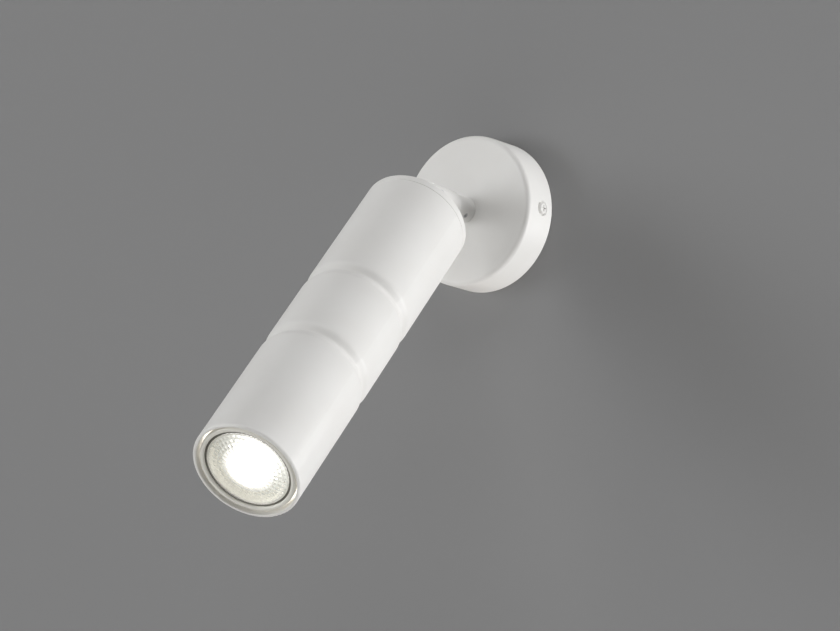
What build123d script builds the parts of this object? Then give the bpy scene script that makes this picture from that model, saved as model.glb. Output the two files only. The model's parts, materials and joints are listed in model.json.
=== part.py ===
"""Pivoting spotlight wall light.

A long white tube on a knuckle, carried by a round canopy that is screwed over a wall bracket.
Millimetres. X to the right, Y into the wall, Z up. The wall is the plane Y = 0, and the origin
is the middle of the canopy's back.

Pieces are made on a bench: Z runs out from the wall, X to the right, Y up. The head's pieces are
made with the tilt pin as their origin, Z along the lamp tube. PIECES at the end stands them up.
"""
import os
from math import asin, cos, degrees, pi, radians, sin, sqrt, tan

from build123d import *

os.makedirs("parts", exist_ok=True)

# ---------------------------------------------------------------- driving dimensions
# How the light is set in its rest pose
rest_swivel = 5.4           # degrees the head is turned about the canopy's axis
rest_tilt = 45.9            # degrees the tube is tilted down from straight out
swivel_travel = 320.0       # degrees from stop to stop

# Clearances, each all round
thread_gap = 0.03           # a screw in its thread
running_gap = 0.05          # a part that turns in or on another
slip_gap = 0.10             # a part that slides in by hand
screw_hole_gap = 0.20       # a screw through a plain hole

# Canopy: a drawn cup with two dimples for its side screws
canopy_radius = 40.0
canopy_depth = 21.0
canopy_wall = 1.5
canopy_edge_round = 2.5
canopy_inner_round = 1.0
dimple_mouth_radius = 4.1
dimple_floor_radius = 3.3
dimple_depth = 1.1
side_screw_height = 8.4     # middle of the side screws, out from the wall

# Wall bracket: a folded strap with a wider middle
sheet = 1.5
strap_width = 16.0
bracket_bend_round = 2.0
ear_gap = 0.2               # between an ear and the back of its dimple
ear_top = 5.0               # ear above the side screw's middle
ear_round = 4.0
panel_width = 34.0
panel_height = 50.0
panel_round = 5.0
cable_hole_radius = 7.0
wall_screw_spacing = 50.0
wall_slot_radius = 2.25
wall_slot_length = 9.0
earth_place = 18.0          # earth screw, below the middle
earth_boss_radius = 4.5
earth_boss_height = 2.5

# Screws: shank and head sizes
m3_radius = 1.5
m3_head_radius = 2.9
m3_head_height = 1.9
m4_radius = 2.0
m4_head_radius = 3.5
m4_head_height = 2.1
slot_width = 0.8
slot_depth = 0.9
cross_reach = 0.62          # arms of a cross recess, as a share of the head's radius
head_round = 0.45           # edge of a pan head, as a share of its height
side_screw_length = 6.0

# Terminal block on the bracket
block_place = 17.0          # middle of the block, above the cable hole
block_width = 23.0
block_length = 17.0
block_height = 11.5
block_round = 1.0
pole_spacing = 13.0
pole_height = 4.6           # wire bore above the block's foot
sleeve_outer = 2.6
sleeve_inner = 1.7
sleeve_length = 15.0
clamp_spacing = 9.0         # between the two clamp screws of one pole
clamp_radius = 1.25
clamp_well_radius = 2.0
clamp_top = 1.2             # screw top below the block's top
clamp_slot_width = 0.5
clamp_slot_depth = 0.7

# Insulated leads
lead_radius = 0.9
lead_ring = 1.5             # how far from the axis three leads lie in a bore
lead_exit = 3.5             # straight lead in front of the block before it turns
bend_share = 0.45           # share of the shorter run beside it that a bend takes up
tag_thickness = 0.8
tag_radius = 4.0
tag_wall = 0.7
tag_barrel_length = 5.0

# Neck: turned piece that is screwed to the canopy
neck_radius = 6.5
neck_length = 12.7
neck_chamfer = 0.4
pipe_radius = 5.0           # M10 pipe thread of the neck and of the knuckle
pipe_bore = 3.2
neck_tail = 9.0             # threaded tail behind the canopy's face
socket_floor = 3.6          # solid neck under the stem's socket
grub_height = 6.3           # grub screw's middle above the canopy's face
grub_angle = -42.6          # seen from the front, from X towards Z
grub_below = 0.15           # grub screw under the neck's surface
grub_dog_radius = 0.75
grub_dog_length = 0.9
grub_key = 1.5              # across the flats of its hexagon socket
grub_key_depth = 0.8
nut_flats = 14.0            # nut on an M10 pipe thread
nut_height = 3.5
nut_chamfer = 0.6
tooth_washer_radius = 8.6
tooth_washer_thickness = 0.8
tooth_count = 12
tooth_depth = 1.1

# Fork: turns in the neck and carries the tilt pin
stem_radius = 5.0
stem_groove_depth = 1.0
swivel_washer_thickness = 0.5
fork_foot_radius = 7.2
fork_radius = 8.0
fork_chamfer = 0.4
pivot_height = 32.2         # tilt pin above the canopy's face
fork_slot = 7.0
ear_end_radius = 7.9
hinge_clear = 0.6           # between the tongue's rim and the bottom of the slot
pin_head_sink = 2.2         # depth of the seats for the tilt screw's head and nut
pin_key = 2.5
pin_key_depth = 1.4
pin_nut_flats = 7.0

# Knuckle: tongue between the fork's ears, with a groove round it for the leads
tongue_thickness = 5.8
tongue_radius = 8.0
tongue_core_radius = 5.0
tongue_groove = 3.4
tongue_slot_height = 3.2    # half the height of the wire slot
stub_web = 1.5              # solid metal between the tongue and the stub's bore
knuckle_length = 18.94      # tilt pin to the rear cap
knuckle_thread_end = 1.2    # end of the knuckle's thread past its nut
tilt_washer_radius = 6.0

# Head: rear cap and lamp tube
head_length = 208.0
tube_wall = 1.7
mouth_gap = 1.4             # between the lamp's rim and the tube's bore
tube_front_round = 1.2
tube_mouth_round = 0.3
cap_lip = 4.0
cap_face = 3.0
cap_edge_round = 0.5
cap_spigot = 7.0
cap_spigot_wall = 2.0
seam_chamfer = 0.25
head_earth_reach = 4.4      # from the lock washer's rim to the head's earth screw
head_earth_web = 1.5        # metal left in the cap's face under that screw
earth_loop_height = 22.0    # top of the earth lead's loop, above the cap's face

# Two rolled grooves round the tube
rear_section = 80.3         # rear groove's bottom, from the rear of the head
front_section = 77.7        # front groove's bottom, from the tube's mouth
groove_depth = 1.8
groove_slope = 26.0             # degrees
groove_bottom_radius = 2.5
groove_shoulder_radius = 6.0

# Tie screws: pull the carrier plate and the rear cap together over the tube
tie_edge = 9.3              # tie screws, from the tube's bore
tie_head_radius = 2.9
tie_head_depth = 1.4
tie_slot_depth = 0.7

# Carrier plate, in front of the front groove
plate_thickness = 1.5
plate_skirt = 5.0
plate_skirt_wall = 1.2
plate_collar_radius = 3.0
plate_collar_height = 2.5
plate_wire_hole = 7.5

# Lampholder with a two-pin twist-lock
holder_length = 31.0
holder_width = 17.5
holder_chamfer = 1.2
holder_screw_spacing = 24.0
holder_screw_sink = 5.0
holder_screw_end = 1.5      # end of a holder screw behind the plate
holder_lead_run = 4.5       # straight lead behind the plate
head_lead_offset = 2.0      # live and neutral lead, either side of the tube's axis
pin_spacing = 10.0
pocket_radius = 2.75
pocket_depth = 8.0
contact_thickness = 0.6
contact_width = 3.0
contact_length = 6.0

# Reflector lamp
lamp_recess = 0.9           # lamp's front behind the tube's mouth
lamp_seat_gap = 0.3         # between the lamp's foot and the lampholder
lamp_radius = 24.9
lamp_rim = 3.2
lamp_rim_round = 0.6
lamp_length = 48.0          # without its pins
lamp_wall = 1.4
lamp_shoulder = 0.9         # flank's start inside the rim's edge
lamp_neck_radius = 12.2
lamp_neck_place = 31.0
lamp_belly = 2.2            # how far the flank bulges from a straight cone
lens_rim = 3.0              # width of the glass rim round the lens
lens_gap = 0.5              # between that rim and the lens
lens_sink = 0.1
lens_thickness = 2.0
lens_dome = 0.5
board_inset = 1.1           # board's edge inside the lens's
board_place = 9.0
board_thickness = 1.6
board_ledge = 1.0
chip_size = 3.0
chip_height = 0.7
chip_ring = 11.0
chip_count = 6
base_socket = 3.0           # length of the base's collar inside the glass
base_end_radius = 9.4
base_taper = 6.0
base_wall = 1.6
driver_width = 12.0
driver_length = 12.0
driver_thickness = 1.6
pin_radius = 1.5
pin_head_radius = 2.45
pin_head_height = 2.4
pin_length = 6.9

# ---------------------------------------------------------------- sizes that follow
canopy_face = canopy_depth
dimple_back = canopy_radius - dimple_depth - canopy_wall
ear_face = dimple_back - ear_gap
ear_height = side_screw_height + ear_top
neck_top = canopy_face + neck_length
grub_level = canopy_face + grub_height
stem_foot = canopy_face + socket_floor + slip_gap
fork_foot = neck_top + swivel_washer_thickness + running_gap
pivot_level = canopy_face + pivot_height
slot_floor = pivot_level - tongue_radius - hinge_clear
lead_top = slot_floor - slip_gap
stub_start = tongue_radius + hinge_clear
pipe_hole = pipe_radius + slip_gap
pole_level = sheet + pole_height
block_top = sheet + block_height
block_screw_seat = block_top - clamp_top - m3_head_height
earth_tag_level = sheet + earth_boss_height
tag_barrel_radius = lead_radius + thread_gap + tag_wall
tag_reach = tag_radius + tag_barrel_radius

cap_inner = knuckle_length + cap_face
head_tag_level = cap_inner + earth_boss_height
tube_start = knuckle_length + cap_lip
tube_end = knuckle_length + head_length
tube_bore = lamp_radius + mouth_gap
tube_radius = tube_bore + tube_wall
tie_place = tube_bore - tie_edge
spigot_radius = tube_bore - slip_gap
spigot_bore = spigot_radius - cap_spigot_wall
head_earth_offset = tooth_washer_radius + head_earth_reach
lens_hole = lamp_radius - lens_rim
lens_radius = lens_hole - lens_gap
board_radius = lens_radius - board_inset
slope = radians(groove_slope)
groove_bends = groove_bottom_radius + groove_shoulder_radius
groove_flank = (groove_depth - groove_bends * (1 - cos(slope))) / sin(slope)
groove_half = groove_bends * sin(slope) + groove_flank * cos(slope)
plate_radius = tube_bore - slip_gap
shoulder_inside = groove_shoulder_radius - tube_wall
plate_reach = sqrt(shoulder_inside ** 2 - (shoulder_inside - slip_gap) ** 2)
rear_groove = knuckle_length + rear_section
front_groove = tube_end - front_section
plate_back = front_groove + groove_half - plate_reach + slip_gap
plate_front = plate_back + plate_thickness
collar_top = plate_front + plate_collar_height
lamp_front = tube_end - lamp_recess
lamp_back = lamp_front - lamp_length
holder_back = plate_front
holder_front = lamp_back - lamp_seat_gap
pocket_floor = holder_front - pocket_depth
stub_bore = stub_start + stub_web
knuckle_end = cap_inner + tooth_washer_thickness + nut_height + knuckle_thread_end
driver_foot = lamp_back + 2 * base_wall

UPWARD = (Align.CENTER, Align.CENTER, Align.MIN)


# ---------------------------------------------------------------- plain shapes
def rod(radius, low, high):
    """Round bar along Z."""
    return Pos(0, 0, low) * Cylinder(radius, high - low, align=UPWARD)


def ring(outer, inner, low, high):
    """Round bar with a bore along Z."""
    return rod(outer, low, high) - rod(inner, low, high)


def bar(width, height, low, high, corner=0.0):
    """Rectangular bar along Z, with rounded corners where a radius is given."""
    outline = RectangleRounded(width, height, corner) if corner else Rectangle(width, height)
    return Pos(0, 0, low) * extrude(outline, high - low)


def hexagon(flats, low, high):
    """Six-sided bar along Z."""
    return Pos(0, 0, low) * extrude(RegularPolygon(flats / 2, 6, major_radius=False), high - low)


def cone(low_radius, high_radius, low, high):
    """Tapered round bar along Z."""
    return Pos(0, 0, low) * Cone(low_radius, high_radius, high - low, align=UPWARD)


def along_x(shape):
    """Lays a piece that was made along Z along X."""
    return Rot(Y=90) * shape


def top_circle(shape):
    """Outermost round edge at the top of a turned shape."""
    return shape.edges().filter_by(GeomType.CIRCLE).sort_by(Axis.Z)[-1]


def pan_screw(radius, head_radius, head_height, seat, tip):
    """Pan-head screw along Z: its head stands on the seat and its shank runs down to the tip."""
    top = seat + head_height
    head = fillet(top_circle(rod(head_radius, seat, top)), head_round * head_height)
    screw = head + rod(radius, tip, seat)
    for turn in (0, 90):
        screw -= Rot(Z=turn) * bar(2 * cross_reach * head_radius, slot_width, top - slot_depth, top)
    return screw


def pipe_nut(low):
    """Thin hexagon nut for the pipe thread, its corners turned down."""
    nut = hexagon(nut_flats, low, low + nut_height)
    corner_radius = nut_flats / sqrt(3)
    turned = rod(corner_radius, low, low + nut_height)
    turned = chamfer(turned.edges().filter_by(GeomType.CIRCLE), nut_chamfer)
    return (nut & turned) - rod(pipe_radius + thread_gap, low, low + nut_height)


def tooth_washer(low):
    """Lock washer with teeth cut round its rim."""
    top = low + tooth_washer_thickness
    washer = ring(tooth_washer_radius, pipe_hole, low, top)
    gap = Pos(tooth_washer_radius, 0, 0) * bar(2 * tooth_depth, tooth_depth, low, top)
    for tooth in range(tooth_count):
        washer -= Rot(Z=tooth * 360 / tooth_count) * gap
    return washer


def lead(*points):
    """Insulated wire along straight runs, joined by bends as large as the runs allow."""
    runs = [Vector(end) - Vector(start) for start, end in zip(points, points[1:])]
    radii = []
    for before, after in zip(runs, runs[1:]):
        half_turn = radians(before.get_angle(after)) / 2
        radii.append(bend_share * min(before.length, after.length) / tan(half_turn))
    route = FilletPolyline(*points, radius=radii)
    section = Plane(origin=route @ 0, z_dir=route % 0) * Circle(lead_radius)
    wire = sweep(section, path=route)
    full = route.length * pi * lead_radius ** 2
    bends = ", ".join(f"{radius:.1f}" for radius in radii)
    print(f"lead {route.length:.1f} mm, bends {bends} mm, volume {wire.volume / full:.4f} of a bar's")
    return wire


def earth_tag(low, upright):
    """Ring tag for an M4 screw, with a crimped barrel lying beside it or standing up."""
    top = low + tag_thickness
    plate = rod(tag_radius, low, top)
    plate += Pos(tag_reach / 2, 0, 0) * bar(tag_reach, 2 * tag_barrel_radius, low, top)
    barrel = rod(tag_barrel_radius, 0, tag_barrel_length)
    hole = rod(lead_radius + thread_gap, tag_wall, tag_barrel_length)
    foot = Pos(tag_radius, 0, low + tag_barrel_radius) * Rot(Y=90)
    if upright:
        foot = Pos(tag_reach, 0, low)
    return plate + foot * barrel - foot * hole - rod(m4_radius + thread_gap, low, top)


# ---------------------------------------------------------------- on the wall
def both_sides(shape):
    """The piece on the X side and its twin on the other side of the canopy."""
    return shape + Rot(Z=180) * shape


def at_side_screw(shape):
    """Stands a piece that was made along Z on the side screw's line, Z pointing out of the canopy."""
    return Pos(0, 0, side_screw_height) * Rot(Y=90) * shape


def make_canopy_cup():
    """Drawn cup with a soft front edge, the neck's hole and two pressed dimples."""
    cup = fillet(top_circle(rod(canopy_radius, 0, canopy_depth)), canopy_edge_round)
    hollow = rod(canopy_radius - canopy_wall, 0, canopy_depth - canopy_wall)
    cup -= fillet(top_circle(hollow), canopy_inner_round)
    pad = rod(dimple_mouth_radius + canopy_wall, dimple_back, canopy_radius - dimple_depth)
    cup += both_sides(at_side_screw(pad)) & rod(canopy_radius - canopy_wall / 2, 0, canopy_depth)
    flare = dimple_mouth_radius - dimple_floor_radius
    floor = canopy_radius - dimple_depth
    dimple = cone(dimple_floor_radius, dimple_mouth_radius + flare, floor, canopy_radius + dimple_depth)
    dimple += rod(m3_radius + screw_hole_gap, dimple_back - canopy_wall, floor)
    cup -= both_sides(at_side_screw(dimple))
    return cup - rod(pipe_hole, 0, canopy_depth)


def make_wall_bracket():
    """Folded strap: slots for the wall screws, a cable hole, and ears for the side screws."""
    body = bar(2 * ear_face, strap_width, 0, ear_height)
    body = fillet(body.edges().filter_by(Axis.Y).sort_by(Axis.Z)[:2], bracket_bend_round)
    body = fillet(body.edges().filter_by(Axis.X).sort_by(Axis.Z)[-2:], ear_round)
    inside = bar(2 * (ear_face - sheet), strap_width, sheet, ear_height)
    inside = fillet(inside.edges().filter_by(Axis.Y).sort_by(Axis.Z)[:2], bracket_bend_round - sheet)
    body -= inside
    body += bar(panel_width, panel_height, 0, sheet, panel_round)
    body += Pos(0, -earth_place, 0) * rod(earth_boss_radius, 0, earth_tag_level)
    body -= rod(cable_hole_radius, 0, sheet)
    body -= Pos(0, -earth_place, 0) * rod(m4_radius + thread_gap, 0, earth_tag_level)
    body -= Pos(0, block_place, 0) * rod(m3_radius + thread_gap, 0, sheet)
    slot = extrude(SlotOverall(wall_slot_length, 2 * wall_slot_radius), sheet)
    body -= both_sides(Pos(wall_screw_spacing / 2, 0, 0) * slot)
    thread = rod(m3_radius + thread_gap, ear_face - sheet, ear_face)
    return body - both_sides(at_side_screw(thread))


def make_side_screws():
    """Two pan-head screws through the dimples into the bracket's ears."""
    seat = canopy_radius - dimple_depth
    screw = pan_screw(m3_radius, m3_head_radius, m3_head_height, seat, seat - side_screw_length)
    return both_sides(at_side_screw(screw))


def make_terminal_block():
    """Two-pole block: a bore for each brass sleeve and a well over each clamp screw."""
    block = Pos(0, block_place, 0) * bar(block_width, block_length, sheet, block_top)
    block = fillet(block.edges().filter_by(Axis.Z), block_round)
    for pole in (-1, 1):
        line = Pos(pole * pole_spacing / 2, block_place, pole_level)
        block -= line * Rot(X=90) * rod(sleeve_outer + thread_gap, -block_length, block_length)
        for clamp in (-1, 1):
            well = Pos(pole * pole_spacing / 2, block_place + clamp * clamp_spacing / 2, 0)
            block -= well * rod(clamp_well_radius, pole_level, block_top)
    hole = rod(m3_radius + screw_hole_gap, 0, block_top)
    hole += rod(m3_head_radius + screw_hole_gap, block_screw_seat, block_top)
    return block - Pos(0, block_place, 0) * hole


def make_block_screw():
    """Screw that holds the terminal block on the bracket."""
    screw = pan_screw(m3_radius, m3_head_radius, m3_head_height, block_screw_seat, slip_gap)
    return Pos(0, block_place, 0) * screw


def make_terminal_sleeves():
    """Brass sleeve of each pole, tapped for its two clamp screws."""
    sleeves = Part()
    for pole in (-1, 1):
        line = Pos(pole * pole_spacing / 2, block_place, pole_level)
        sleeve = Rot(X=90) * ring(sleeve_outer, sleeve_inner, -sleeve_length / 2, sleeve_length / 2)
        for clamp in (-1, 1):
            sleeve -= Pos(0, clamp * clamp_spacing / 2, 0) * rod(clamp_radius + thread_gap, 0, sleeve_outer)
        sleeves += line * sleeve
    return sleeves


def make_clamp_screws():
    """Four clamp screws, two over each sleeve."""
    screws = Part()
    for pole in (-1, 1):
        for clamp in (-1, 1):
            top = block_top - clamp_top
            screw = rod(clamp_radius, pole_level + lead_radius + thread_gap, top)
            screw -= bar(2 * clamp_radius, clamp_slot_width, top - clamp_slot_depth, top)
            screws += Pos(pole * pole_spacing / 2, block_place + clamp * clamp_spacing / 2, 0) * screw
    return screws


def make_earth_screw():
    """Earth screw on the bracket's boss."""
    seat = earth_tag_level + tag_thickness
    return Pos(0, -earth_place, 0) * pan_screw(m4_radius, m4_head_radius, m4_head_height, seat, slip_gap)


def make_canopy_earth_tag():
    """Ring tag under the earth screw, its barrel towards the neck."""
    return Pos(0, -earth_place, 0) * Rot(Z=90) * earth_tag(earth_tag_level, upright=False)


def in_bore(number):
    """Place of one of three leads in a bore; number 0 lies lowest."""
    turn = radians(number * 360 / 3 - 90)
    return lead_ring * cos(turn), lead_ring * sin(turn)


def make_canopy_lead(side):
    """Lead from one pole of the block, up through the neck and the fork's stem."""
    x, y = in_bore(side)
    pole = side * pole_spacing / 2
    grip = block_place - clamp_spacing / 2 + clamp_radius
    bend = block_place - block_length / 2 - lead_exit
    level = pole_level
    return lead((pole, grip, level), (pole, bend, level), (x, y, level), (x, y, lead_top))


def make_canopy_earth_lead():
    """Lead from the earth tag, up through the neck and the fork's stem."""
    x, y = in_bore(0)
    level = earth_tag_level + tag_barrel_radius
    start = -earth_place + tag_radius + tag_wall + slip_gap
    return lead((x, start, level), (x, y, level), (x, y, lead_top))


# ---------------------------------------------------------------- neck
def make_neck():
    """Turned neck: threaded tail through the canopy, body, and the socket for the fork's stem."""
    body = rod(neck_radius, canopy_face, neck_top)
    body = chamfer(body.edges().filter_by(GeomType.CIRCLE), neck_chamfer)
    body += rod(pipe_radius, canopy_face - neck_tail, canopy_face + neck_chamfer)
    body -= rod(pipe_bore, canopy_face - neck_tail, neck_top)
    body -= rod(stem_radius + running_gap, canopy_face + socket_floor, neck_top)
    return body - at_grub(rod(m3_radius + thread_gap, stem_radius - stem_groove_depth, neck_radius))


def at_grub(shape):
    """Stands a piece that was made along Z on the grub screw's line, Z pointing out of the neck."""
    return Pos(0, 0, grub_level) * Rot(Z=grub_angle) * Rot(Y=90) * shape


def make_neck_grub_screw():
    """Grub screw whose dog rides in the stem's groove: it holds the fork and stops its swivel."""
    top = neck_radius - grub_below
    foot = stem_radius + running_gap + slip_gap
    screw = rod(m3_radius, foot, top) + rod(grub_dog_radius, foot - grub_dog_length, foot)
    return at_grub(screw - hexagon(grub_key, top - grub_key_depth, top))


def make_neck_nut():
    """Nut on the neck's tail, inside the canopy."""
    return pipe_nut(canopy_face - canopy_wall - tooth_washer_thickness - nut_height)


def make_neck_washer():
    """Lock washer between the neck's nut and the canopy."""
    return tooth_washer(canopy_face - canopy_wall - tooth_washer_thickness)


# ---------------------------------------------------------------- fork
def make_swivel_washer():
    """Thin slide washer between the neck and the fork."""
    top = neck_top + swivel_washer_thickness
    return ring(neck_radius - neck_chamfer, stem_radius + slip_gap, neck_top, top)


def make_swivel_fork():
    """Stem with a stop groove, a flared foot, and two ears for the tilt pin."""
    stem = rod(stem_radius, stem_foot, fork_foot + fork_chamfer)
    groove_floor = stem_radius - stem_groove_depth
    half = grub_dog_radius + running_gap
    groove = ring(stem_radius, groove_floor, grub_level - half, grub_level + half)
    tip = stem_radius + running_gap + slip_gap - grub_dog_length
    bridge = 360 - swivel_travel - 2 * degrees(asin(half / tip))
    far = 2 * stem_radius * cos(radians(bridge / 2))
    aside = 2 * stem_radius * sin(radians(bridge / 2))
    wedge = Polygon((0, 0), (far, -aside), (far, aside), align=None)
    wall = Rot(Z=grub_angle + 180) * extrude(wedge, fork_foot)
    stem -= groove - wall
    foot = cone(fork_foot_radius, fork_radius, fork_foot, slot_floor)
    foot = chamfer(foot.edges().filter_by(GeomType.CIRCLE).sort_by(Axis.Z)[0], fork_chamfer)
    ears = rod(fork_radius, slot_floor, pivot_level)
    tip_round = Pos(0, 0, pivot_level) * along_x(rod(ear_end_radius, -fork_radius, fork_radius))
    ears += tip_round & rod(fork_radius, slot_floor, pivot_level + fork_radius)
    ears -= bar(fork_slot, 3 * fork_radius, slot_floor, pivot_level + 2 * fork_radius)
    fork = stem + foot + ears - rod(pipe_bore, stem_foot, slot_floor)
    seats = rod(m4_radius + running_gap, -fork_radius, fork_radius)
    seats += rod(m4_head_radius + slip_gap, fork_radius - pin_head_sink, fork_radius)
    seats += hexagon(pin_nut_flats + 2 * slip_gap, -fork_radius, pin_head_sink - fork_radius)
    return fork - Pos(0, 0, pivot_level) * along_x(seats)


def make_hinge_screw():
    """Tilt pin: socket screw through both ears and the tongue."""
    seat = fork_radius - pin_head_sink
    top = seat + m4_head_height
    screw = rod(m4_radius, -fork_radius + slip_gap, seat) + rod(m4_head_radius, seat, top)
    screw -= hexagon(pin_key, top - pin_key_depth, top)
    return Pos(0, 0, pivot_level) * along_x(screw)


def make_hinge_nut():
    """Nut on the tilt pin, sunk in the far ear."""
    seat = pin_head_sink - fork_radius
    nut = hexagon(pin_nut_flats, seat - m4_head_height, seat)
    return Pos(0, 0, pivot_level) * along_x(nut - rod(m4_radius + thread_gap, seat - m4_head_height, seat))


def make_tilt_washers():
    """Slide washer on each side of the tongue."""
    washers = Part()
    inner = tongue_thickness / 2 + running_gap
    for side in (-1, 1):
        low, high = sorted((side * inner, side * fork_slot / 2))
        washers += along_x(ring(tilt_washer_radius, m4_radius + running_gap, low, high))
    return Pos(0, 0, pivot_level) * washers


# ---------------------------------------------------------------- head, from the tilt pin
def make_tilt_knuckle():
    """Tongue with a wire groove round its rim, a round stub and a hollow threaded tail."""
    tongue = along_x(rod(tongue_radius, -tongue_thickness / 2, tongue_thickness / 2))
    tongue += bar(tongue_thickness, 2 * tongue_radius, 0, stub_start + neck_chamfer)
    tongue &= rod(fork_radius, -tongue_radius, stub_start + neck_chamfer)
    groove = ring(2 * tongue_radius, tongue_core_radius, -tongue_groove / 2, tongue_groove / 2)
    tongue -= along_x(groove) & rod(2 * tongue_radius, -2 * tongue_radius, stub_start - slip_gap)
    stub = rod(fork_radius, stub_start, knuckle_length)
    stub = chamfer(stub.edges().filter_by(GeomType.CIRCLE), neck_chamfer)
    stub += rod(pipe_radius, knuckle_length - neck_chamfer, knuckle_end)
    knuckle = tongue + stub - along_x(rod(m4_radius + running_gap, -fork_radius, fork_radius))
    knuckle -= bar(tongue_groove, 2 * tongue_slot_height, tongue_core_radius, stub_bore + stub_web)
    return knuckle - rod(pipe_bore, stub_bore, knuckle_end)


def make_knuckle_washer():
    """Lock washer inside the rear cap."""
    return tooth_washer(cap_inner)


def make_knuckle_nut():
    """Nut that holds the rear cap on the knuckle."""
    return pipe_nut(cap_inner + tooth_washer_thickness)


def at_ties(shape):
    """The piece on both tie screws."""
    return Pos(0, tie_place, 0) * shape + Pos(0, -tie_place, 0) * shape


def make_rear_cap():
    """Cap with a lip as wide as the tube and a spigot inside it."""
    lip = rod(tube_radius, knuckle_length, tube_start)
    lip = fillet(lip.edges().filter_by(GeomType.CIRCLE).sort_by(Axis.Z)[0], cap_edge_round)
    lip = chamfer(top_circle(lip), seam_chamfer)
    cap = lip + rod(spigot_radius, tube_start - seam_chamfer, tube_start + cap_spigot)
    cap -= rod(spigot_bore, cap_inner, tube_start + cap_spigot)
    boss = Pos(head_earth_offset, 0, 0)
    cap += boss * rod(earth_boss_radius, cap_inner, head_tag_level)
    cap -= boss * rod(m4_radius + thread_gap, knuckle_length + head_earth_web, head_tag_level)
    sink = knuckle_length + tie_head_depth
    hole = rod(m3_radius + screw_hole_gap, knuckle_length, cap_inner)
    hole += cone(tie_head_radius + slip_gap, m3_radius + slip_gap, knuckle_length, sink)
    return cap - at_ties(hole) - rod(pipe_hole, knuckle_length, cap_inner)


def make_head_earth_screw():
    """Earth screw inside the rear cap."""
    seat = head_tag_level + tag_thickness
    tip = knuckle_length + head_earth_web + slip_gap
    screw = pan_screw(m4_radius, m4_head_radius, m4_head_height, seat, tip)
    return Pos(head_earth_offset, 0, 0) * screw


def make_head_earth_tag():
    """Ring tag under the head's earth screw, its barrel standing up."""
    return Pos(head_earth_offset, 0, 0) * earth_tag(head_tag_level, upright=True)


def groove_edges(place, depth):
    """Edges of one rolled groove on the surface that lies the given depth inside the tube's wall."""
    shoulder = groove_shoulder_radius - depth
    bottom = groove_bottom_radius + depth
    edges = []
    for side in (-1, 1):
        arc = []
        for turn in (0, slope / 2, slope):
            radius = tube_radius - groove_shoulder_radius + shoulder * cos(turn)
            height = place + side * (groove_half - shoulder * sin(turn))
            arc.append((radius, 0, height))
        centre = tube_radius - groove_depth + groove_bottom_radius
        foot = (centre - bottom * cos(slope), 0, place + side * bottom * sin(slope))
        edges += [ThreePointArc(*arc), Line(arc[2], foot)]
    low = (centre - bottom * cos(slope), 0, place - bottom * sin(slope))
    high = (centre - bottom * cos(slope), 0, place + bottom * sin(slope))
    edges.append(ThreePointArc(low, (centre - bottom, 0, place), high))
    return edges


def make_lamp_tube():
    """Long tube with two rolled grooves, so its wall is bent inwards there."""
    edges = []
    straights = ((tube_start, rear_groove - groove_half),
                 (rear_groove + groove_half, front_groove - groove_half),
                 (front_groove + groove_half, tube_end))
    for depth in (0.0, tube_wall):
        radius = tube_radius - depth
        for low, high in straights:
            edges.append(Line((radius, 0, low), (radius, 0, high)))
        for place in (rear_groove, front_groove):
            edges += groove_edges(place, depth)
    for end in (tube_start, tube_end):
        edges.append(Line((tube_bore, 0, end), (tube_radius, 0, end)))
    tube = revolve(make_face(edges), Axis.Z)
    mouth = tube.edges().filter_by(GeomType.CIRCLE).sort_by(Axis.Z)[-2:].sort_by(SortBy.RADIUS)
    tube = fillet(mouth[1], tube_front_round)
    mouth = tube.edges().filter_by(GeomType.CIRCLE).sort_by(Axis.Z)[-2:].sort_by(SortBy.RADIUS)
    tube = fillet(mouth[0], tube_mouth_round)
    foot = tube.edges().filter_by(GeomType.CIRCLE).sort_by(Axis.Z)[:2].sort_by(SortBy.RADIUS)
    return chamfer(foot[1], seam_chamfer)


def make_carrier_plate():
    """Pressed plate behind the lampholder: it leans on the front groove's inside."""
    plate = rod(plate_radius, plate_back, plate_front + plate_skirt)
    plate -= rod(plate_radius - plate_skirt_wall, plate_front, plate_front + plate_skirt)
    plate += at_ties(rod(plate_collar_radius, plate_back, collar_top))
    plate -= at_ties(rod(m3_radius + thread_gap, plate_back, collar_top))
    for side in (-1, 1):
        place = Pos(side * holder_screw_spacing / 2, 0, 0)
        plate -= place * rod(m3_radius + thread_gap, plate_back, plate_front)
    return plate - rod(plate_wire_hole, plate_back, plate_front)


def make_tie_screws():
    """Two long countersunk screws from the rear cap to the carrier plate."""
    screw = rod(m3_radius, knuckle_length + tie_head_depth, collar_top)
    screw += cone(tie_head_radius, m3_radius, knuckle_length, knuckle_length + tie_head_depth)
    screw -= bar(2 * tie_head_radius, slot_width, knuckle_length, knuckle_length + tie_slot_depth)
    return at_ties(screw)


def make_lampholder():
    """Ceramic holder: pockets for the lamp's pins, sunk fixing screws, lead holes at the back."""
    body = bar(holder_length, holder_width, holder_back, holder_front, holder_width / 2 - slip_gap)
    body = chamfer(body.faces().sort_by(Axis.Z)[-1].edges(), holder_chamfer)
    pocket = rod(pocket_radius, pocket_floor, holder_front)
    pocket += rod(lead_radius + slip_gap, holder_back, holder_front)
    pocket += contact_place() * bar(contact_width + 2 * slip_gap, contact_thickness + 2 * slip_gap,
                                    pocket_floor, holder_front)
    fixing = rod(m3_radius + screw_hole_gap, holder_back, holder_front)
    fixing += rod(m3_head_radius + screw_hole_gap, holder_front - holder_screw_sink, holder_front)
    for side in (-1, 1):
        body -= Pos(side * pin_spacing / 2, 0, 0) * pocket
        body -= Pos(side * holder_screw_spacing / 2, 0, 0) * fixing
    return body


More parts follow.
